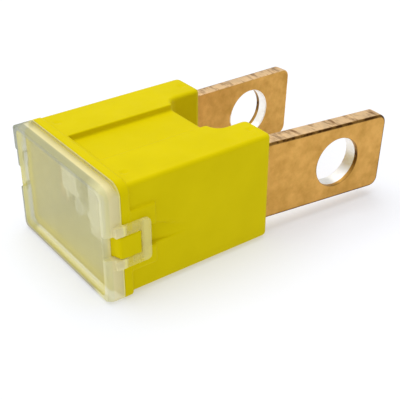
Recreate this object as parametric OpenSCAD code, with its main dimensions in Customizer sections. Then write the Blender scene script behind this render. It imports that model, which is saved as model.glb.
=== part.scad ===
// Bolt-in cartridge fuse: a moulded housing with two flat terminals that bolt down,
// a fusible link between them, and a clear cap snapped over the open end.
// X runs across the housing, Y from the cap to the terminal tips, Z is its thickness.
// The origin lies under the middle of the whole fuse, on the surface that it lies on.

/* [Housing] */
// Width of the housing across its narrow sides
body_w = 15.9; // [14.5:0.1:20]
// Thickness of the housing
body_t = 11.1; // [10:0.1:14]
// Length from the cap's front to the middle of the prongs' ends
body_l = 18.6; // [17:0.1:26]
// Radius of the four long edges
edge_r = 0.5; // [0.2:0.1:1]
// Wall between the link's chamber and the wide faces
roof_wall = 1.15; // [1:0.05:1.6]

/* [Collar] */
// Length of the collar that the cap seats against
collar_l = 0.9; // [0.6:0.1:1.6]
// How far the collar and the cap stand proud of the housing
collar_proud = 0.3; // [0.2:0.05:0.6]
// Corner radius of the collar and the cap
collar_r = 1.3; // [0.8:0.1:1.6]
// Height of the key that stops the cap going on upside down
key_h = 2.6; // [2:0.1:3.5]
// How far the key stands out of one narrow side
key_proud = 0.45; // [0.3:0.05:0.6]

/* [Wide faces] */
// Width of the sunk panel between the rails
panel_w = 5.8; // [5:0.1:9]
// Depth of the sunk panel
panel_depth = 0.4; // [0.2:0.05:0.5]
// Distance of the panel from the collar
panel_gap = 0.4; // [0.2:0.1:1.5]
// Diameter of the marks left by the mould's ejector pins
pin_mark_d = 0.9; // [0.5:0.1:1.4]
// Depth of those marks
pin_mark_depth = 0.08; // [0.05:0.01:0.15]
// Distance of the marks from the narrow sides
pin_mark_inset = 2; // [1.2:0.1:2.4]

/* [Prongs] */
// Width of the notch between the prongs
notch_w = 8.1; // [6:0.1:9]
// Depth of the notch
notch_depth = 3.9; // [3:0.1:6]
// Radius in the notch's inner corners
notch_r = 1.2; // [0.6:0.1:2]
// Wall between the link's chamber and the notch
floor_wall = 1.5; // [1:0.1:2.5]
// Radius of the upright corners at the ends of the prongs
prong_r = 0.6; // [0.2:0.1:0.7]
// How much longer the left prong is than the right one
prong_diff = 0.6; // [0:0.1:1]

/* [Cap] */
// Depth of the cap from its front to the collar
cap_l = 1.7; // [1.4:0.1:2.4]
// Thickness of the cap's front, which is the window
window_t = 0.8; // [0.6:0.1:1]
// Thickness of the cap's rim
rim_wall = 0.6; // [0.5:0.05:0.7]
// Bevel round the cap's front
cap_bevel = 0.35; // [0.2:0.05:0.5]
// Thickness of the snap loops
loop_t = 0.45; // [0.4:0.05:0.9]
// Outer height of the snap loops
loop_h = 4.4; // [4:0.1:5.4]
// Width of the bars of the loops
loop_bar = 1.1; // [0.8:0.05:1.2]
// How far the loops reach behind the collar
loop_reach = 1.8; // [1.6:0.1:2.4]

/* [Catches] */
// Height of the raised pad that each loop lies on
pad_h = 6.2; // [5.6:0.1:8]
// Length of the pad behind the collar
pad_l = 2.6; // [2.5:0.1:4]
// Length of the tapered relief behind each loop
relief_l = 3; // [2:0.1:5]
// Depth of the relief under the loop
relief_depth = 0.5; // [0.3:0.05:0.6]
// Height of the relief where it runs out
relief_end_h = 0.8; // [0.4:0.1:1.6]

/* [Terminals] */
// Height of the terminal blades
blade_h = 8; // [7:0.1:8.2]
// Thickness of the terminal blades
blade_t = 1.6; // [0.8:0.1:1.8]
// Length of a blade outside its prong
blade_out = 14.7; // [12:0.1:24]
// Corner radius at the blade tips
blade_r = 1; // [0.5:0.1:2]
// Diameter of the bolt hole, with room for a 5 mm bolt
hole_d = 5.3; // [4.3:0.1:5.5]
// Distance of the hole's middle from the prong
hole_at = 8.7; // [7:0.1:9.5]
// Wall of the prong outside its blade
side_wall = 0.7; // [0.5:0.05:1]
// Angle by which each blade springs outwards
splay = 4.2; // [1:0.1:4.5]
// Angle by which the blades dip towards their tips
droop = 2.3; // [0:0.1:2.5]
// Height of the narrow tongue inside the housing
tongue_h = 6.4; // [5:0.1:6.8]

/* [Link] */
// Thickness of the fusible link
link_t = 0.5; // [0.3:0.05:0.6]
// Height of the legs welded to the tongues
link_leg_h = 4.6; // [3:0.1:5]
// Length of those legs
link_leg_l = 5; // [3:0.1:6]
// Width of the link's narrow neck
neck_w = 0.9; // [0.6:0.1:1.4]
// Diameter of the low melting pellet on the neck
pellet_d = 1.7; // [1.3:0.1:2.2]
// Thickness of the pellet
pellet_t = 0.45; // [0.2:0.05:0.6]
// Space between the window and the link
link_gap = 1.9; // [1.2:0.1:2.2]

/* [Fits] */
// Clearance round what slides in or snaps on
fit = 0.05; // [0.03:0.01:0.08]

/* [Hidden] */
overcut = 1;            // how far a cut runs past the face that it opens
arc_steps = 8;          // straight steps in a quarter turn of an outline

// Outlines and levels shared by the pieces
cap_w = body_w + 2*collar_proud;
cap_t = body_t + 2*collar_proud;
mid_z = cap_t/2;
// A blade's support point along Y, once it is dipped and splayed
blade_reach = blade_t*sin(splay) + cos(splay)*((blade_out - blade_r)*cos(droop)
            + (blade_h/2 - blade_r)*sin(droop) + blade_r);
front_y = -(body_l + blade_reach)/2;
collar_y = front_y + cap_l;
body_y = collar_y + collar_l;
prong_y = front_y + body_l;
left_y = prong_y + prong_diff/2;
right_y = prong_y - prong_diff/2;
notch_y = prong_y - notch_depth;
chamber_y = notch_y - floor_wall;

// The chamber is as wide as the terminals where they enter it, so that they slide in from the front
blade_x = body_w/2 - side_wall;
chamber_w = 2*(blade_x + fit - (prong_y - chamber_y)*tan(splay));
chamber_h = body_t - 2*roof_wall;
spigot_w = cap_w - 2*rim_wall - 2*fit;
spigot_t = cap_t - 2*rim_wall - 2*fit;
spigot_y = front_y + window_t + fit;
spigot_r = collar_r - rim_wall;

// Snap loops and the catches in their windows
loop_x = cap_w/2 + loop_t;
loop_y = body_y + loop_reach;
loop_gap_h = loop_h - 2*loop_bar;
catch_x = loop_x - fit;
catch_h = loop_gap_h - 2*fit;
catch_end = loop_y - loop_bar - fit;
catch_root = spigot_w/2 - rim_wall;
notch_root = cap_w/2 - rim_wall;
pad_end = body_y + pad_l;

// Link and pellet, behind the window
link_y = front_y + window_t + link_gap;
tongue_end = link_y + link_t + fit;
tongue_l = (prong_y - tongue_end)/cos(splay);
link_x = blade_x - blade_t - tongue_l*sin(splay) - link_t/2;
tab_top = 2.7;          // highest point of the link's tabs, from the middle
tab_low = -3.1;         // lowest point of the right tab, from the middle
tab_step = -0.4;        // lowest point of the left tab, from the middle
tab_left = -1.5;        // inner edge of the left tab
tab_right = 0.7;        // inner edge of the right tab
neck_drop = 1.3;        // height that the neck loses from tab to tab

// Points along an arc, from one angle to another
function arc(x, y, r, from, to) =
    [for (i = [0:arc_steps]) let (a = from + (to - from)*i/arc_steps) [x + r*cos(a), y + r*sin(a)]];

// Outline of a rectangle with round corners, about its middle
function round_rect(w, h, r) = concat(
    arc(w/2 - r, h/2 - r, r, 0, 90), arc(r - w/2, h/2 - r, r, 90, 180),
    arc(r - w/2, r - h/2, r, 180, 270), arc(w/2 - r, r - h/2, r, 270, 360));

// An outline drawn in X and Z, carried along Y from one place to another
module along(from, to) {
    translate([0, to, mid_z]) rotate([90, 0, 0]) linear_extrude(to - from) children();
}

// The same shape on both narrow sides
module both_sides() {
    for (turn = [0, 1]) mirror([turn, 0, 0]) children();
}

// A block given by its lowest and highest corners, with Z counted from the middle
module block(low, high) {
    translate([low[0], low[1], mid_z + low[2]]) cube(high - low);
}

// The root of a terminal at its prong: X points out of the blade, Y along it
module at_terminal(side) {
    mirror([side < 0 ? 1 : 0, 0, 0])
        translate([blade_x, prong_y, mid_z]) rotate([-droop, 0, -splay]) children();
}

// Key rib at the upper left corner, on both the collar and the cap
module key(from, to) {
    block([-cap_w/2 - key_proud, from, cap_t/2 - collar_r/2 - key_h],
          [-cap_w/2 + key_proud, to, cap_t/2 - collar_r/2]);
}

// Hollow space for the link, open at the cap, with a slot through each prong
module chamber() {
    block([-chamber_w/2, front_y - overcut, -chamber_h/2], [chamber_w/2, chamber_y, chamber_h/2]);
    for (side = [-1, 1]) at_terminal(side)
        translate([-blade_t - fit, -notch_depth - floor_wall - overcut, -blade_h/2 - fit])
            cube([blade_t + 2*fit, notch_depth + floor_wall + 2*overcut, blade_h + 2*fit]);
}

// The notch between the prongs, with round inner corners and a rounded mouth
module notch() {
    mouth_x = notch_w/2 + prong_r;
    translate([0, 0, -overcut]) linear_extrude(cap_t + 2*overcut) polygon(concat(
        arc(notch_r - notch_w/2, notch_y + notch_r, notch_r, 180, 270),
        arc(notch_w/2 - notch_r, notch_y + notch_r, notch_r, 270, 360),
        arc(mouth_x, right_y - prong_r, prong_r, 180, 90),
        [[mouth_x, left_y + overcut], [-mouth_x, left_y + overcut]],
        arc(-mouth_x, left_y - prong_r, prong_r, 90, 0)));
}

// The housing behind the collar, with round long edges and round upright corners at its end
module body() {
    corner_x = body_w/2 - prong_r;
    intersection() {
        along(body_y, left_y) polygon(round_rect(body_w, body_t, edge_r));
        translate([0, 0, -overcut]) linear_extrude(cap_t + 2*overcut) polygon(concat(
            [[-body_w/2, body_y - overcut], [body_w/2, body_y - overcut]],
            arc(corner_x, right_y - prong_r, prong_r, 0, 90), [[0, right_y], [0, left_y]],
            arc(-corner_x, left_y - prong_r, prong_r, 90, 180)));
    }
}

// Sunk panels and ejector marks of the two wide faces
module wide_face_cuts() {
    for (up = [-1, 1]) {
        level = up*body_t/2;
        block([-panel_w/2, body_y + panel_gap, min(level, level - up*panel_depth)],
              [panel_w/2, notch_y + overcut, max(level, level - up*panel_depth)]);
        for (x = [-1, 1]) for (y = [body_y + pin_mark_d, (x < 0 ? left_y : right_y) - 1.2*pin_mark_d])
            translate([x*(body_w/2 - pin_mark_inset), y, mid_z + level - up*pin_mark_depth])
                mirror([0, 0, up > 0 ? 0 : 1]) cylinder(d = pin_mark_d, h = overcut, $fn = 32);
    }
}

// Wedge behind a loop, deepest and highest under the loop and running out along the side
module relief() {
    low = catch_end + 2*fit;
    high = pad_end + relief_l;
    intersection() {
        translate([0, 0, mid_z - loop_gap_h/2]) linear_extrude(loop_gap_h) polygon([
            [body_w/2 - relief_depth, low], [cap_w/2 + overcut, low],
            [cap_w/2 + overcut, pad_end + overcut/2], [body_w/2 + fit, high]]);
        translate([0, 0, mid_z - loop_gap_h/2]) rotate([90, 0, 90]) linear_extrude(cap_w)
            polygon([[low - overcut, 0], [high, 0], [high, relief_end_h],
                     [loop_y, loop_gap_h], [low - overcut, loop_gap_h]]);
    }
}

module housing() {
    color("gold") difference() {
        union() {
            along(spigot_y, collar_y) polygon(round_rect(spigot_w, spigot_t, spigot_r));
            along(collar_y, body_y) polygon(round_rect(cap_w, cap_t, collar_r));
            body();
            key(collar_y, body_y);
            both_sides() {
                block([body_w/2 - side_wall, body_y, -pad_h/2], [cap_w/2, pad_end, pad_h/2]);
                block([catch_root, spigot_y, -catch_h/2], [catch_x, catch_end, catch_h/2]);
            }
        }
        chamber();
        notch();
        wide_face_cuts();
        both_sides() relief();
    }
}

// One snap loop: two bars that run back over the collar, joined behind the catch
module snap_loop() {
    block([cap_w/2 - rim_wall, front_y + window_t, -loop_h/2], [loop_x, collar_y, loop_h/2]);
    block([cap_w/2, collar_y, -loop_h/2], [loop_x, loop_y, loop_h/2]);
}

module cap() {
    color("honeydew", 0.6) difference() {
        union() {
            hull() {
                along(front_y, front_y + fit)
                    polygon(round_rect(cap_w - 2*cap_bevel, cap_t - 2*cap_bevel, collar_r - cap_bevel));
                along(front_y + cap_bevel, collar_y) polygon(round_rect(cap_w, cap_t, collar_r));
            }
            key(front_y + cap_bevel, collar_y);
            both_sides() snap_loop();
        }
        along(front_y + window_t, collar_y + overcut)
            polygon(round_rect(cap_w - 2*rim_wall, cap_t - 2*rim_wall, collar_r - rim_wall));
        both_sides() block([notch_root, front_y - overcut, -loop_gap_h/2],
                           [loop_x + overcut, loop_y - loop_bar, loop_gap_h/2]);
    }
}

// A stamped terminal: blade with round tip corners and a bolt hole, and a narrower tongue
module terminal(side) {
    shoulder = notch_depth + floor_wall;
    color("peru") at_terminal(side) difference() {
        rotate([90, 0, -90]) linear_extrude(blade_t) mirror([1, 0, 0]) polygon(concat(
            arc(blade_out - blade_r, blade_r - blade_h/2, blade_r, 270, 360),
            arc(blade_out - blade_r, blade_h/2 - blade_r, blade_r, 0, 90),
            [[-shoulder, blade_h/2], [-shoulder, tongue_h/2], [-tongue_l, tongue_h/2],
             [-tongue_l, -tongue_h/2], [-shoulder, -tongue_h/2], [-shoulder, -blade_h/2]]));
        translate([-blade_t - overcut, hole_at, 0]) rotate([0, 90, 0])
            cylinder(d = hole_d, h = blade_t + 2*overcut, $fn = 64);
    }
}

// The link: a leg on each tongue, and an S-shaped plate with a thin neck behind the window
module fusible_link() {
    color("silver") {
        for (side = [-1, 1]) at_terminal(side)
            translate([-blade_t - link_t, -tongue_l - link_t/2, -link_leg_h/2])
                cube([link_t, link_leg_l, link_leg_h]);
        along(link_y, link_y + link_t) polygon([
            [-link_x, tab_step], [-link_x, tab_top], [tab_left, tab_top], [tab_left, tab_step + neck_w],
            [tab_right, tab_step + neck_w - neck_drop], [tab_right, tab_top], [link_x, tab_top],
            [link_x, tab_low], [tab_right, tab_low], [tab_right, tab_step - neck_drop],
            [tab_left, tab_step]]);
    }
}

module solder_pellet() {
    color("lightgrey") translate([(tab_left + tab_right)/2, link_y, mid_z + tab_step + (neck_w - neck_drop)/2])
        rotate([90, 0, 0]) cylinder(d = pellet_d, h = pellet_t, $fn = 48);
}

housing();
cap();
terminal(-1);  // terminal_left
terminal(1);  // terminal_right
fusible_link();
solder_pellet();
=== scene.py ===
"""Bolt-in cartridge fuse: yellow moulded housing, frosted cap, copper terminals, link and pellet.

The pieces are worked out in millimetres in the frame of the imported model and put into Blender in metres.
"""

import bpy
import numpy as np
from mathutils import Matrix, Vector


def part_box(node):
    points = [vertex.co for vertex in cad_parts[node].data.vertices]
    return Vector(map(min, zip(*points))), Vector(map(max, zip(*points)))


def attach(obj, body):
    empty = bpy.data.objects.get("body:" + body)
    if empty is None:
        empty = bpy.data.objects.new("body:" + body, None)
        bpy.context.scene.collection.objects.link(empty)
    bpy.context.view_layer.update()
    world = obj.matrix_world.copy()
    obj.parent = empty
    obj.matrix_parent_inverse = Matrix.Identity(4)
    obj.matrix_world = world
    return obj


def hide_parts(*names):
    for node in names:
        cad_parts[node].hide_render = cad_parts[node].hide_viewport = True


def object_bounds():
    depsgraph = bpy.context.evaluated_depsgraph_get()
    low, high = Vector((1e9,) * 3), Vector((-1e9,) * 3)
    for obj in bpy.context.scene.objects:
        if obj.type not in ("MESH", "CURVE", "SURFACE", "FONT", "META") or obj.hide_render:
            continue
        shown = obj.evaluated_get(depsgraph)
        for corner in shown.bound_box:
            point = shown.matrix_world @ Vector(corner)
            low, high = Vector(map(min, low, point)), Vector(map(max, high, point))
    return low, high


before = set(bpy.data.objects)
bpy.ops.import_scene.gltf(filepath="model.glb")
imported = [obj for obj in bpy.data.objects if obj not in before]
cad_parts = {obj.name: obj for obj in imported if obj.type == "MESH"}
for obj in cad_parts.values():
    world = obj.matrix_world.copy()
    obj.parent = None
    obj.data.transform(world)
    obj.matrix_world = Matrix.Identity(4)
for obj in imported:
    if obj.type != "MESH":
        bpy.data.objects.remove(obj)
solid_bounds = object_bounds()


# The housing is one moulding in yellow nylon: collar, rails with a sunk panel between them, two prongs,
# and on each narrow side a catch, a raised pad and a relief. It came out of a two-part mould with side
# slides, so every edge has a small radius, and the ejector pins left shallow marks on the rails.
mm = 0.001
body_w, body_t = 15.9, 11.1
collar_l, collar_proud, collar_r, collar_low_r = 0.9, 0.3, 1.3, 0.7
cap_l, window_t, rim_wall, fit = 1.7, 0.8, 0.6, 0.05
front_y = solid_bounds[0][1] / mm
left_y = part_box("housing")[1][1] / mm
prong_diff = 0.6
right_y, prong_y = left_y - prong_diff, left_y - prong_diff / 2
collar_y = front_y + cap_l
body_y = collar_y + collar_l
cap_w, cap_t = body_w + 2 * collar_proud, body_t + 2 * collar_proud
mid_z = cap_t / 2
notch_w, notch_depth, notch_r, notch_wall, prong_r = 8.1, 3.9, 1.2, 1.5, 0.6
notch_y = prong_y - notch_depth
chamber_y = notch_y - notch_wall
panel_w, panel_depth = 5.7, 0.6
side_wall = 0.7
blade_sheet = {-1: (1.5, 8.0), 1: (1.8, 8.2)}
splay, droop = np.radians(4.2), np.radians(2.3)
blade_x = body_w / 2 - side_wall
loop_t, loop_h, loop_bar, loop_reach = 0.45, 4.3, 1.0, 1.8
loop_x, loop_y = cap_w / 2 + loop_t, body_y + loop_reach
loop_gap_h = loop_h - 2 * loop_bar
catch_root = cap_w / 2 - 2 * rim_wall - fit
notch_root = cap_w / 2 - rim_wall
catch_end = loop_y - loop_bar - fit
catch_slope = 0.36
pad_h, pad_l = 6.2, 2.6
pad_end = body_y + pad_l
relief_l, relief_depth, relief_end_h = 3.0, 0.5, 0.8
key_h, key_proud, key_r = 2.6, 0.45, 0.25
panel_y, chamber_wall, chamber_r, slot_l = body_y + 0.4, 1.15, 0.3, 7
pin_r, pin_rise, pin_in, pin_front, pin_rear = 0.67, 0.55, 2.0, 0.9, 1.08
thin_r, small_r, edge_r, soft_r, wide_r, body_r = 0.05, 0.1, 0.12, 0.15, 0.2, 0.4
beyond = 2


def slab(v, low, high):
    """Distance outside the layer between two planes, negative inside: the larger of the two overshoots."""
    return np.maximum(low - v, v - high)


def outline(u, v, w, h, r):
    """Distance to a rectangle w by h about the origin with corners of radius r: how far the point lies past
    the rectangle drawn in by r, less r."""
    a, b = np.abs(u) - w / 2 + r, np.abs(v) - h / 2 + r
    return np.hypot(np.maximum(a, 0), np.maximum(b, 0)) + np.minimum(np.maximum(a, b), 0) - r


def both(a, b, r):
    """What lies in a and in b, its new edge rounded with radius r: past the two faces moved in by r, the
    distance is that to the corner line, less r."""
    return np.minimum(-r, np.maximum(a, b)) + np.hypot(np.maximum(a + r, 0), np.maximum(b + r, 0))


def either(a, b, r):
    """What lies in a or in b, with a fillet of radius r where they meet: both, turned outside in."""
    return -both(-a, -b, r)


def block(x, y, z, low, high, r):
    """Distance to a box from corner low to corner high with every edge rounded by r."""
    past = [np.maximum(a - v, v - b) + r for v, a, b in zip((x, y, z), low, high)]
    out = np.sqrt(sum(np.maximum(p, 0) ** 2 for p in past))
    return out + np.minimum(np.maximum(np.maximum(past[0], past[1]), past[2]), 0) - r


def at_blade(x, y, z, side):
    """A point as the terminal on that side sees it: X out of its face, Y along it from the prong, Z up it.
    The blade is splayed about Z and dipped about X, so the point is turned back by both angles."""
    u, v, w = side * x - blade_x, y - prong_y, z - mid_z
    u, v = u * np.cos(splay) - v * np.sin(splay), u * np.sin(splay) + v * np.cos(splay)
    return u, v * np.cos(droop) - w * np.sin(droop), v * np.sin(droop) + w * np.cos(droop)


def rows(marks, near, far, growth=0.4):
    """Places of grid planes: their spacing is near at each mark and grows with the distance from it, up to
    far. The planes stand where the running sum of one over the spacing passes each whole number."""
    marks = np.sort(np.array(marks))
    line = np.arange(marks[0] - 2 * near, marks[-1] + 2 * near, near / 20)
    spacing = np.clip(near + growth * np.abs(line[:, None] - marks).min(axis=1), near, far)
    count = np.cumsum(near / 20 / spacing)
    return np.interp(np.arange(0, count[-1]), count, line)


def picked(axis, starts, lengths):
    """Slices that keep the axis whole and take the given lengths of the other two, from their starts."""
    starts = iter(starts)
    firsts = [None if k == axis else next(starts) for k in range(3)]
    return tuple(slice(s, None if s is None else s + n) for s, n in zip(firsts, lengths))


def skin(name, field, xs, ys, zs):
    """Mesh of the surface where field is zero. Each cell of the grid that the surface crosses gets one
    point, at the mean of its edges' crossings, and each crossed edge gets the quad of the four cells round
    it. The points then slide down the field's slope onto the surface, and the slope gives their normals."""
    grid = np.meshgrid(xs, ys, zs, indexing="ij")
    value = field(*grid)
    cells = tuple(n - 1 for n in value.shape)
    total, count = np.zeros(cells + (3,)), np.zeros(cells)
    edges = []
    for axis in range(3):
        first = tuple(slice(None, -1) if k == axis else slice(None) for k in range(3))
        last = tuple(slice(1, None) if k == axis else slice(None) for k in range(3))
        a, b = value[first], value[last]
        crossed = (a < 0) != (b < 0)
        share = np.where(crossed, a / np.where(crossed, a - b, 1), 0)
        point = np.stack([g[first] + share * (g[last] - g[first]) for g in grid], axis=-1)
        point *= crossed[..., None]
        for starts in ((0, 0), (0, 1), (1, 0), (1, 1)):
            pick = picked(axis, starts, cells)
            total += point[pick]
            count += crossed[pick]
        edges.append((crossed, a < 0))
    used = count > 0
    number = np.full(cells, -1)
    number[used] = np.arange(used.sum())
    places = total[used] / count[used][:, None]
    quads = []
    for axis, (crossed, leaving) in enumerate(edges):
        inner = tuple(slice(None) if k == axis else slice(1, -1) for k in range(3))
        lengths = [n - 1 for n in cells]
        around = [number[picked(axis, starts, lengths)] for starts in ((0, 0), (1, 0), (1, 1), (0, 1))]
        quad = np.stack([numbers[crossed[inner]] for numbers in around], axis=1)
        flip = leaving[inner][crossed[inner]] == (axis == 1)
        quad[flip] = quad[flip][:, ::-1]
        quads.append(quad)
    quads = np.concatenate(quads)

    def slope(p, step=0.004):
        sides = [field(*(p + s * step * np.eye(3)[k]).T) for k in range(3) for s in (1, -1)]
        return np.stack([(sides[2 * k] - sides[2 * k + 1]) / (2 * step) for k in range(3)], axis=1)

    least_slope, longest_move = 0.2, 0.15
    for turn in range(4):
        steep = slope(places)
        squared = (steep ** 2).sum(axis=1, keepdims=True)
        move = field(*places.T)[:, None] * steep / np.maximum(squared, least_slope)
        places -= np.clip(move, -longest_move, longest_move)
    normals = slope(places)
    normals /= np.maximum(np.linalg.norm(normals, axis=1, keepdims=True), 1e-9)
    mesh = bpy.data.meshes.new(name)
    mesh.from_pydata((places * mm).tolist(), [], quads.tolist())
    mesh.shade_smooth()
    mesh.normals_split_custom_set_from_vertices(normals.tolist())
    piece = bpy.data.objects.new(name, mesh)
    bpy.context.scene.collection.objects.link(piece)
    return piece


def key_block(x, y, z, from_y, to_y):
    """The key rib at the upper left corner, on the collar and on the cap alike."""
    top = mid_z + cap_t / 2 - collar_r / 2
    low = (-cap_w / 2 - key_proud, from_y, top - key_h)
    return block(x, y, z, low, (-cap_w / 2 + key_proud, to_y, top), key_r)


def corner_r(up):
    """Radius of the corners of collar and cap: the lower ones are sharper."""
    return np.where(up > 0, collar_r, collar_low_r)


def housing_field(x, y, z):
    """Distance to the housing: prisms along Y joined with fillets, less the chamber, slots and notch."""
    side, up, end_y = np.abs(x), z - mid_z, np.where(x < 0, left_y, right_y)
    a, b = side - notch_w / 2 + notch_r, notch_y + notch_r - y
    notch = np.hypot(np.maximum(a, 0), np.maximum(b, 0)) + np.minimum(np.maximum(a, b), 0) - notch_r
    plan = both(both(side - body_w / 2, slab(y, collar_y, end_y), prong_r), -notch, prong_r)
    level = body_t / 2 - panel_depth
    sunk = block(x, y, np.abs(up), (-panel_w / 2, panel_y, level), (panel_w / 2, left_y, body_t), edge_r)
    body = both(plan, both(np.abs(up) - body_t / 2, -sunk, edge_r), body_r)
    collar = both(outline(x, up, cap_w, cap_t, corner_r(up)), slab(y, collar_y, body_y), soft_r)
    collar = either(collar, key_block(x, y, z, collar_y, body_y), small_r)
    spigot_w, spigot_t = cap_w - 2 * rim_wall - 2 * fit, cap_t - 2 * rim_wall - 2 * fit
    spigot = both(outline(x, up, spigot_w, spigot_t, collar_r - rim_wall),
                  slab(y, front_y + window_t + fit, body_y), edge_r)
    whole = either(either(body, collar, edge_r), spigot, thin_r)
    pad = block(side, y, up, (body_w / 2 - side_wall, body_y - 0.3, -pad_h / 2),
                (cap_w / 2, pad_end, pad_h / 2), wide_r)
    whole = either(whole, pad, soft_r)
    catch_h = loop_gap_h - 2 * fit
    catch = block(side, y, up, (catch_root, front_y + window_t + fit, -catch_h / 2),
                  (loop_x - fit, catch_end, catch_h / 2), small_r)
    ramp = (catch_slope * (side - notch_root) - y + front_y + window_t + fit) / np.hypot(1, catch_slope)
    catch = both(catch, ramp, wide_r)
    whole = either(whole, catch, 0.08)

    chamber_w = 2 * (blade_x + fit - (prong_y - chamber_y) * np.tan(splay))
    chamber_h = body_t - 2 * chamber_wall
    chamber = block(x, y, up, (-chamber_w / 2, front_y - beyond, -chamber_h / 2),
                    (chamber_w / 2, chamber_y, chamber_h / 2), chamber_r)
    whole = both(whole, -chamber, soft_r)
    for turn in (-1, 1):
        u, v, w = at_blade(x, y, z, turn)
        thick, high = blade_sheet[turn]
        slot = np.maximum(outline(u + thick / 2, w, thick + 2 * fit, high + 2 * fit, 0.02), -v - slot_l)
        whole = both(whole, -slot, 0.07)

    for row_y in (body_y + pin_front, end_y - pin_rear):
        across, above = side - body_w / 2 + pin_in, np.abs(up) - body_t / 2 - pin_rise
        ball = np.sqrt(across ** 2 + (y - row_y) ** 2 + above ** 2)
        whole = both(whole, pin_r - ball, 0.06)

    low = catch_end + 2 * fit
    high = pad_end + relief_l
    floor = body_w / 2 - relief_depth + (relief_depth + fit) * (y - low) / (high - low)
    roof = loop_gap_h / 2 - (loop_gap_h - relief_end_h) * np.clip((y - loop_y) / (high - loop_y), 0, 1)
    relief = both(both(floor - side, slab(up, -loop_gap_h / 2, roof), thin_r), low - y, thin_r)
    return both(whole, -relief, soft_r)


# The grid's planes stand closest where the surface turns: at the edges, the steps and the small reliefs.
fine = 0.085
side_marks = [2.9, 4.05, 5.95, 7.3, 7.75, 8.2, 8.65]
housing_x = rows([-cap_w / 2 - key_proud] + [s * v for v in side_marks for s in (-1, 1)], fine, 0.7)
along_marks = [front_y + window_t + 0.1, collar_y, body_y, body_y + 0.45, body_y + 0.9, catch_end, pad_end,
               chamber_y, notch_y, notch_y + 1.1, right_y - 1.1, right_y, left_y - 1.1, left_y]
housing_y = rows(along_marks, fine, 0.5)
up_marks = [1.15, 3.1, 4.05, 4.35, 5.0, 5.45, 5.8]
single_marks = [mid_z - 0.4, mid_z + 0.4, mid_z + 2.3]
housing_z = rows([mid_z + s * v for v in up_marks for s in (-1, 1)] + single_marks, fine, 0.5)
housing = skin("housing_moulding", housing_field, housing_x, housing_y, housing_z)


def shader(name, **values):
    """A material with a Principled shader, its sockets set by name with underscores for the spaces."""
    material = bpy.data.materials.new(name)
    material.use_nodes = True
    principled = material.node_tree.nodes["Principled BSDF"]
    for socket, value in values.items():
        principled.inputs[socket.replace("_", " ")].default_value = value
    return material, material.node_tree, principled


def add(tree, kind, **values):
    """A node of that kind: names in lower case are its settings, the others its sockets."""
    node = tree.nodes.new(kind)
    for name, value in values.items():
        if name[0].islower():
            setattr(node, name, value)
        else:
            node.inputs[name].default_value = value
    return node


def noise(tree, scale, detail=3.0, roughness=0.5, stretch=(1, 1, 1)):
    """Noise on the object's own coordinates, stretched along its axes; scale is in patches per metre."""
    place = add(tree, "ShaderNodeTexCoord")
    mapping = add(tree, "ShaderNodeMapping")
    mapping.inputs["Scale"].default_value = stretch
    cloud = add(tree, "ShaderNodeTexNoise", Scale=scale, Detail=detail, Roughness=roughness)
    tree.links.new(place.outputs["Object"], mapping.inputs["Vector"])
    tree.links.new(mapping.outputs["Vector"], cloud.inputs["Vector"])
    return cloud.outputs["Fac"]


def blend(tree, amount, low, high, limits=(0.3, 0.7)):
    """Two colours mixed by an amount that runs from 0 to 1 between the limits."""
    ramp = add(tree, "ShaderNodeValToRGB")
    for stop, place, colour in zip(ramp.color_ramp.elements, limits, (low, high)):
        stop.position = place
        stop.color = (*colour, 1)
    tree.links.new(amount, ramp.inputs["Fac"])
    return ramp.outputs["Color"]


def bump(tree, amount, strength, distance, below=None):
    """A bump of that height in metres, laid over the one below it."""
    node = add(tree, "ShaderNodeBump", Strength=strength, Distance=distance)
    tree.links.new(amount, node.inputs["Height"])
    if below is not None:
        tree.links.new(below, node.inputs["Normal"])
    return node.outputs["Normal"]


yellow, tree, principled = shader("yellow_nylon", IOR=1.5, Specular_IOR_Level=0.04)
principled.inputs["Specular Tint"].default_value = (1.0, 0.88, 0.02, 1)
tint = blend(tree, noise(tree, 240, 4.0), (0.665, 0.545, 0.001), (0.71, 0.585, 0.002))
tree.links.new(tint, principled.inputs["Base Color"])
tree.links.new(blend(tree, noise(tree, 900), (0.40,) * 3, (0.52,) * 3), principled.inputs["Roughness"])
sink = bump(tree, noise(tree, 160, 2.0), 0.35, 0.00012)
tree.links.new(bump(tree, noise(tree, 4200, 2.0), 0.25, 0.00001, sink), principled.inputs["Normal"])
housing.data.materials.append(yellow)
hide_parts("housing")
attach(housing, "root")


# The cap is one moulding in frosted clear plastic. Its window is the front, its rim seats against the
# collar, and its two loops snap over the catches, so the catches show through notches in its sides.
bevel_l, bevel_in, loop_r, loop_run = 0.6, 0.25, 0.55, 10


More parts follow.
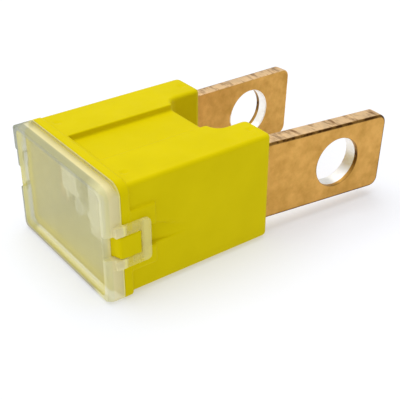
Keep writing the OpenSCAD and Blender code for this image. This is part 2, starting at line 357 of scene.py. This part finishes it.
def cap_field(x, y, z):
    """Distance to the cap: a tray with a rounded front, its key and loops, less the pocket and notches."""
    side, up = np.abs(x), z - mid_z
    rim = outline(x, up, cap_w, cap_t, corner_r(up))
    bevel = (rim + bevel_in - (y - front_y) * bevel_in / bevel_l) / np.hypot(1, bevel_in / bevel_l)
    tray = both(both(rim, slab(y, front_y, collar_y), 0.06), bevel, 0.08)
    tray = either(tray, key_block(x, y, z, front_y + small_r, collar_y), small_r)
    shoulder = block(side, y, up, (cap_w / 2 - rim_wall, front_y + window_t, -loop_h / 2),
                     (loop_x, collar_y, loop_h / 2), small_r)
    loop = block(side, y, up, (cap_w / 2 + 0.01, collar_y - 0.4, -loop_h / 2),
                 (loop_x, loop_y, loop_h / 2), edge_r)
    corner = outline(y - loop_y + loop_run / 2, up, loop_run, loop_h, loop_r)
    whole = either(either(tray, shoulder, thin_r), both(loop, corner, small_r), thin_r)
    pocket = both(outline(x, up, cap_w - 2 * rim_wall, cap_t - 2 * rim_wall, collar_r - rim_wall),
                  slab(y, front_y + window_t, collar_y + beyond), wide_r)
    whole = both(whole, -pocket, 0.06)
    notch = block(side, y, up, (notch_root, front_y - beyond, -loop_gap_h / 2),
                  (loop_x + beyond, loop_y - loop_bar, loop_gap_h / 2), edge_r)
    return both(whole, -notch, small_r)


cap_fine = 0.07
cap_x = rows([s * v for v in (7.2, 7.65, 7.95, 8.25, 8.7) for s in (-1, 1)], cap_fine, 0.7)
along_marks = [front_y, front_y + 0.45, front_y + window_t, collar_y, loop_y - loop_bar, loop_y]
cap_y = rows(along_marks, cap_fine, 0.5)
up_marks = [s * v for v in (1.15, 2.2, 4.65, 5.25, 5.5, 5.85) for s in (-1, 1)] + [2.3]
cap_z = rows([mid_z + v for v in up_marks], cap_fine, 0.7)
cap = skin("cap_moulding", cap_field, cap_x, cap_y, cap_z)


def rise(v, start, run):
    """0 up to the start, 1 past the end of the run, and straight in between."""
    return np.clip((v - start) / run, 0, 1)


def cap_frost_and_painted_light(x, y, z):
    """How cloudy the cap is at each point, and its colour there. The window is thinly frosted, with painted
    yellow along its left and lower edges that stands for the housing's wall seen through the plastic. The
    rim is seen end on: its front is painted greyish shade, darker on the left and along the bottom, and
    paler with painted light on the right. Its flanks clear towards the joint; the left one is in painted
    shade, the right one is pale yellow with painted light, and a painted highlight runs along the joint as
    a light line. Each part is given by its share of the point, its cloudiness and its colour."""
    up = z - mid_z
    inward = outline(x, up, cap_w, cap_t, collar_r) + rim_wall
    rim = rise(inward, -0.1, 0.12)
    # Painted yellow band: the housing's wall as seen through the window's left and lower edges.
    painted_wall_band = rise(inward, -1.6, 0.8) * rise(np.maximum(-x - 6.0, -up - 3.5), 0, 0.5)
    back = rise(y, front_y + bevel_l, cap_l - bevel_l)
    # Painted highlight: a light line on the rim just before the joint.
    line = np.clip(1.4 - np.abs(y - collar_y + 0.08) / 0.1, 0, 1)
    loop, tail = rise(y, collar_y + 0.05, 0.1), rise(y, loop_y - loop_bar, 0.2)
    far, near = rise(-x, 6.8, 0.6), rise(x, 5.5, 2.0)
    under, over = rise(-up, 4.6, 0.6) * (1 - near), rise(up, 4.9, 0.6)
    front = rim * (y < front_y + bevel_l - 0.04)
    flank = (rim - front) * (1 - line) * (1 - loop)
    rest = front * (1 - near) * (1 - under)
    # Painted shade makes the rim's front greyish, darker on the left and at the bottom, and darkens the
    # left flank; painted light makes the front's right part and the right flank pale.
    parts = [((1 - rim) * (1 - painted_wall_band), 0.35, (0.90, 0.87, 0.46)),
             ((1 - rim) * painted_wall_band, 0.42, (1.0, 0.89, 0.10)),
             (rest * (1 - far), 0.70, (0.45, 0.45, 0.27)),
             (rest * far, 0.74, (0.32, 0.34, 0.24)),
             (front * under, 0.84, (0.44, 0.40, 0.24)),
             (front * near, 0.62, (0.88, 0.85, 0.48)),
             (flank * far, 0.70, (0.31, 0.33, 0.25)),
             (flank * (1 - far), 0.62 - (0.06 + 0.50 * over) * back, (1.0, 0.92, 0.52)),
             ((rim - front) * line, 0.78 - 0.3 * over, (1.0, 0.93, 0.30)),
             (rim * loop, 0.22 + 0.2 * tail, (1.0, 0.92, 0.34))]
    veil = sum(share * cloud for share, cloud, colour in parts)
    tint = sum(share[:, None] * np.array(colour) for share, cloud, colour in parts)
    return veil, np.concatenate([tint, np.ones_like(tint[:, :1])], axis=1)


points = np.empty(3 * len(cap.data.vertices))
cap.data.vertices.foreach_get("co", points)
veil, tint = cap_frost_and_painted_light(*points.reshape(-1, 3).T / mm)
cap.data.attributes.new("veil", "FLOAT", "POINT").data.foreach_set("value", veil)
# The tint attribute holds the frost's colour together with the rim's painted shade, painted light and
# painted highlight.
cap.data.attributes.new("tint", "FLOAT_COLOR", "POINT").data.foreach_set("color", tint.ravel())

frosted, tree, principled = shader("frosted_plastic", IOR=1.45, Roughness=0.3)
cloud = add(tree, "ShaderNodeAttribute", attribute_name="veil")
tree.links.new(cloud.outputs["Fac"], principled.inputs["Alpha"])
frost_and_painted_light = add(tree, "ShaderNodeAttribute", attribute_name="tint")
speckle = blend(tree, noise(tree, 260, 3.0), (0.92,) * 3, (1.0,) * 3)
tinted = add(tree, "ShaderNodeMix", data_type="RGBA", blend_type="MULTIPLY")
tinted.inputs["Factor"].default_value = 1.0
tree.links.new(frost_and_painted_light.outputs["Color"], tinted.inputs["A"])
tree.links.new(speckle, tinted.inputs["B"])
tree.links.new(tinted.outputs["Result"], principled.inputs["Base Color"])
tree.links.new(bump(tree, noise(tree, 1500, 3.0), 0.3, 0.00003), principled.inputs["Normal"])
cap.data.materials.append(frosted)
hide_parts("cap")
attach(cap, "root")


# The terminals are stamped from copper sheet: a blade with round corners and a bolt hole, and a narrower
# tongue in the chamber. The punch rolled the front edges over, where painted shade runs as a dark line, and
# sheared the rest of the thickness, which is pale and torn. The bolt hole's rim and the front of its wall
# carry painted shade and a painted shadow too, and deeper in, its wall is painted near white as a
# reflection.
blade_out, blade_r, tongue_h, hole_r, hole_at = 14.7, 1.0, 6.4, 2.65, 8.7
link_gap, link_t = 1.9, 0.5
tongue_l = (prong_y - (front_y + window_t + link_gap + link_t + fit)) / np.cos(splay)
shoulder_y = notch_depth + notch_wall


def blade_outline(high, inset, steps=400):
    """Points round the terminal's outline drawn in by inset: straight runs, with arcs at the tip."""
    top, low, tip, r = high / 2 - inset, tongue_h / 2 - inset, blade_out - inset, blade_r - inset
    turn = np.linspace(0, np.pi / 2, 12)
    arc = np.stack([tip - r + r * np.sin(turn), r - top - r * np.cos(turn)], axis=1)
    half = np.concatenate([[(-tongue_l + inset, 0), (-tongue_l + inset, -low),
                            (-shoulder_y + inset, -low), (-shoulder_y + inset, -top)], arc, [(tip, 0)]])
    whole = np.concatenate([half, half[-2:0:-1] * (1, -1), half[:1]])
    run = np.concatenate([[0], np.cumsum(np.hypot(*np.diff(whole, axis=0).T))])
    t = np.union1d(np.linspace(0, run[-1], steps), run)
    return np.stack([np.interp(t, run, whole[:, k]) for k in range(2)], axis=1)


def reach(angle, high, inset):
    """How far the outline drawn in by inset lies from the hole's middle, in the direction of an angle."""
    points = blade_outline(high, inset) - (hole_at, 0)
    turn, far = np.arctan2(points[:, 1], points[:, 0]), np.hypot(*points.T)
    order = np.argsort(turn)
    return np.interp(angle, turn[order], far[order], period=2 * np.pi)


def rounding(radius, steps=6):
    """Pairs of inset and depth down a quarter circle, from the face to the edge."""
    turn = np.linspace(0, np.pi / 2, steps)
    return [(radius * (1 - np.sin(t)), radius * (1 - np.cos(t))) for t in turn]


def terminal(name, side):
    """A terminal as a closed surface of two parameters. One goes round the hole as an angle, the other
    round the plate's section: out over the front, down the outer edge, back behind and up the hole's wall.
    A ring's radius is the hole's or the outline's, drawn in by its edge's roll-over, or lies between."""
    thick, high = blade_sheet[side]
    corners = blade_outline(high, 0.0) - (hole_at, 0)
    angle = np.union1d(np.linspace(-np.pi, np.pi, 181)[:-1], np.round(np.arctan2(*corners.T[::-1]), 5))
    angle = angle[np.concatenate([[True], np.diff(angle) > 2e-4])]
    roll, burr, lip, sunk = 0.26, 0.07, 0.04, 0.42
    # Painted shade down the rolled front edge, one value for each ring, darkest round the middle of the
    # roll, so that a dark line runs along it.
    painted_edge_shade = (0.2, 0.9, 1.0, 1.0, 0.8, 0.1)
    shares = (0.01, 0.25, 0.5, 0.75, 0.99)
    front = [(share, roll, lip, 0.0, 0.0) for share in shares]
    edge = [(1, a, 0, -b, painted_dark) for (a, b), painted_dark in zip(rounding(roll), painted_edge_shade)]
    edge += [(1, a, 0, b - thick, 0.0) for a, b in rounding(burr)[::-1]]
    back = [(share, burr, burr, -thick, 0.0) for share in shares[::-1]]
    wall = [(0, 0, a, b - thick, 0.0) for a, b in rounding(burr)]
    wall += [(0, 0, 0, -sunk - lip, 0.0), (0, 0, 0, -sunk, 0.0)]
    # The hole's rounded front rim gets painted shade at a little under half strength.
    wall += [(0, 0, a, -b, 0.45) for a, b in rounding(lip)[::-1]]
    sections = front + edge + back + wall
    rings = []
    for share, inset, widening, depth, painted_dark in sections:
        far = share * reach(angle, high, inset) + (1 - share) * (hole_r + widening)
        ring = [np.full_like(angle, depth), hole_at + far * np.cos(angle), far * np.sin(angle)]
        rings.append(np.stack(ring, axis=1))
    rings = np.stack(rings)
    n, m = rings.shape[:2]
    i, j = np.meshgrid(np.arange(n), np.arange(m), indexing="ij")
    later_i, later_j = (i + 1) % n, (j + 1) % m
    quads = np.stack([i * m + j, later_i * m + j, later_i * m + later_j, i * m + later_j], axis=-1)
    quads = quads.reshape(-1, 4)
    u, v, w = rings.reshape(-1, 3).T
    v, w = v * np.cos(droop) + w * np.sin(droop), w * np.cos(droop) - v * np.sin(droop)
    u, v = u * np.cos(splay) + v * np.sin(splay), v * np.cos(splay) - u * np.sin(splay)
    places = np.stack([side * (u + blade_x), v + prong_y, w + mid_z], axis=1)
    if side < 0:
        quads = quads[:, ::-1]
    mesh = bpy.data.meshes.new(name)
    mesh.from_pydata((places * mm).tolist(), [], quads.tolist())
    mesh.shade_smooth()
    shares, depths, painted_darks = (np.array(sections)[:, k, None] for k in (0, 3, 4))
    whole = np.ones_like(angle)
    # Painted shadow on the front part of the hole's wall, darkest on its side towards the blade's tip.
    outer_wall = (depths < -lip * 0.9) * (depths > -sunk - 0.01) * (shares == 0)
    shadow = np.exp(-((angle - 0.05) / 0.55) ** 2) * outer_wall
    # The second mark gathers the painted shade along the rolled edges and the hole's rim and the painted
    # shadow in the hole. The third marks the deep part of the hole's wall, which is painted near white as a
    # reflection.
    marks = {"sheared": (shares == 1) * (depths < -0.7 * roll) * whole,
             "painted_shade": np.maximum(painted_darks * whole, shadow),
             "painted_white_reflection": (shares == 0) * (depths < -sunk - 0.01) * whole}
    for mark, value in marks.items():
        layer = mesh.attributes.new(mark, "FLOAT", "POINT")
        layer.data.foreach_set("value", value.astype(float).ravel())
    piece = bpy.data.objects.new(name, mesh)
    bpy.context.scene.collection.objects.link(piece)
    return piece


def laid_over(tree, below, mark, colour, patchy=None):
    """A colour laid over the one below where the mesh's mark says so, thinned by a patchy amount."""
    amount = add(tree, "ShaderNodeAttribute", attribute_name=mark).outputs["Fac"]
    if patchy is not None:
        thinned = add(tree, "ShaderNodeMath", operation="MULTIPLY")
        tree.links.new(amount, thinned.inputs[0])
        tree.links.new(patchy, thinned.inputs[1])
        amount = thinned.outputs["Value"]
    mix = add(tree, "ShaderNodeMix", data_type="RGBA")
    tree.links.new(amount, mix.inputs["Factor"])
    tree.links.new(below, mix.inputs["A"])
    if isinstance(colour, tuple):
        mix.inputs["B"].default_value = (*colour, 1)
    else:
        tree.links.new(colour, mix.inputs["B"])
    return mix.outputs["Result"]


copper, tree, principled = shader("bare_copper", Metallic=1.0)
face = blend(tree, noise(tree, 420, 6.0, 0.65), (0.52, 0.275, 0.052), (0.72, 0.40, 0.10), (0.35, 0.65))
torn = noise(tree, 1500, 3.0, 0.6, (0.3, 1, 1))
shear = blend(tree, torn, (0.36, 0.18, 0.06), (1.0, 0.70, 0.38), (0.32, 0.52))
colour = laid_over(tree, face, "sheared", shear)
patchy = blend(tree, noise(tree, 1300, 3.0, 0.6), (0.7,) * 3, (1.0,) * 3, (0.40, 0.55))
# Painted shade: a dark brown laid where the mesh marks the rolled edges and the hole.
colour = laid_over(tree, colour, "painted_shade", (0.07, 0.025, 0.004), patchy)
# Painted reflection: the deep part of the hole's wall laid near white, as the white surround would show in
# it.
colour = laid_over(tree, colour, "painted_white_reflection", (0.97, 0.95, 0.90))
tree.links.new(colour, principled.inputs["Base Color"])
matt = blend(tree, noise(tree, 1500, 4.0), (0.34,) * 3, (0.52,) * 3)
tree.links.new(matt, principled.inputs["Roughness"])
peel = bump(tree, noise(tree, 2600, 4.0), 0.3, 0.00003)
tree.links.new(bump(tree, noise(tree, 350, 2.0), 0.3, 0.00008, peel), principled.inputs["Normal"])
for name, side in (("terminal_left", -1), ("terminal_right", 1)):
    piece = terminal(name + "_stamping", side)
    piece.data.materials.append(copper)
    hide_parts(name)
    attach(piece, "root")


# The link and its pellet keep their solids: plated strip with a thin neck, and a drop of soft alloy on it.
plated, tree, principled = shader("tin_plate", Metallic=0.25, Roughness=0.45)
tint = blend(tree, noise(tree, 700, 4.0), (0.86, 0.84, 0.78), (0.96, 0.95, 0.90))
tree.links.new(tint, principled.inputs["Base Color"])
tree.links.new(bump(tree, noise(tree, 1800, 3.0), 0.25, 0.00002), principled.inputs["Normal"])
alloy, tree, principled = shader("soft_alloy", Metallic=0.9, Roughness=0.5)
tint = blend(tree, noise(tree, 1200, 4.0), (0.45, 0.45, 0.45), (0.66, 0.66, 0.65))
tree.links.new(tint, principled.inputs["Base Color"])
for name, material in (("fusible_link", plated), ("solder_pellet", alloy)):
    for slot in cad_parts[name].material_slots:
        slot.material = material


# The studio: a pale floor of paper that glows a little as on a light table, a white surround, a large soft
# light overhead and a weak one in front of the cap, and the camera of the photograph, which looks down by
# 31 degrees and along the housing from its right.
floor_mesh = bpy.data.meshes.new("floor")
spread = 1.5
corners = [(-spread, -spread, 0), (spread, -spread, 0), (spread, spread, 0), (-spread, spread, 0)]
floor_mesh.from_pydata(corners, [], [(0, 1, 2, 3)])
floor = bpy.data.objects.new("floor", floor_mesh)
bpy.context.scene.collection.objects.link(floor)
paper, tree, principled = shader("floor_paper", Roughness=0.8, Emission_Strength=0.37)
principled.inputs["Emission Color"].default_value = (1, 1, 1, 1)
principled.inputs["Base Color"].default_value = (0.57, 0.585, 0.63, 1)
floor_mesh.materials.append(paper)

world = bpy.data.worlds.new("surround")
bpy.context.scene.world = world
world.use_nodes = True
world.node_tree.nodes["Background"].inputs["Color"].default_value = (1.0, 1.0, 1.0, 1)
world.node_tree.nodes["Background"].inputs["Strength"].default_value = 0.60


def soft_light(name, place, aim, size, power):
    """A square light of that size in metres at a place, facing the aim."""
    data = bpy.data.lights.new(name, "AREA")
    data.size, data.energy = size, power
    light = bpy.data.objects.new(name, data)
    light.location = place
    light.rotation_euler = (Vector(aim) - Vector(place)).to_track_quat("-Z", "Y").to_euler()
    bpy.context.scene.collection.objects.link(light)


middle = (0.0, -0.002, 0.006)
soft_light("key", (-0.06, 0.0, 0.34), middle, 0.35, 0.78)
soft_light("fill", (-0.08, -0.32, 0.16), middle, 0.35, 0.25)

azimuth, elevation = np.radians(53.7), np.radians(31.17)
aim = np.array([6.07, 11.42 + front_y, 5.55 + collar_proud]) * mm
focal_pixels, picture_pixels, distance = 847, 400, 78.5 * mm
sideways = np.cos(elevation)
back = np.array([np.sin(azimuth) * sideways, -np.cos(azimuth) * sideways, np.sin(elevation)])
right = np.array([np.cos(azimuth), np.sin(azimuth), 0])
data = bpy.data.cameras.new("photograph")
data.sensor_width = 36
data.lens = focal_pixels / picture_pixels * data.sensor_width
data.clip_start = 0.005
camera = bpy.data.objects.new("photograph", data)
turned = Matrix(np.stack([right, np.cross(back, right), back], axis=1).tolist()).to_4x4()
camera.matrix_world = Matrix.Translation(Vector(aim + back * distance)) @ turned
bpy.context.scene.collection.objects.link(camera)
bpy.context.scene.camera = camera
bpy.context.scene.view_settings.view_transform = "Standard"
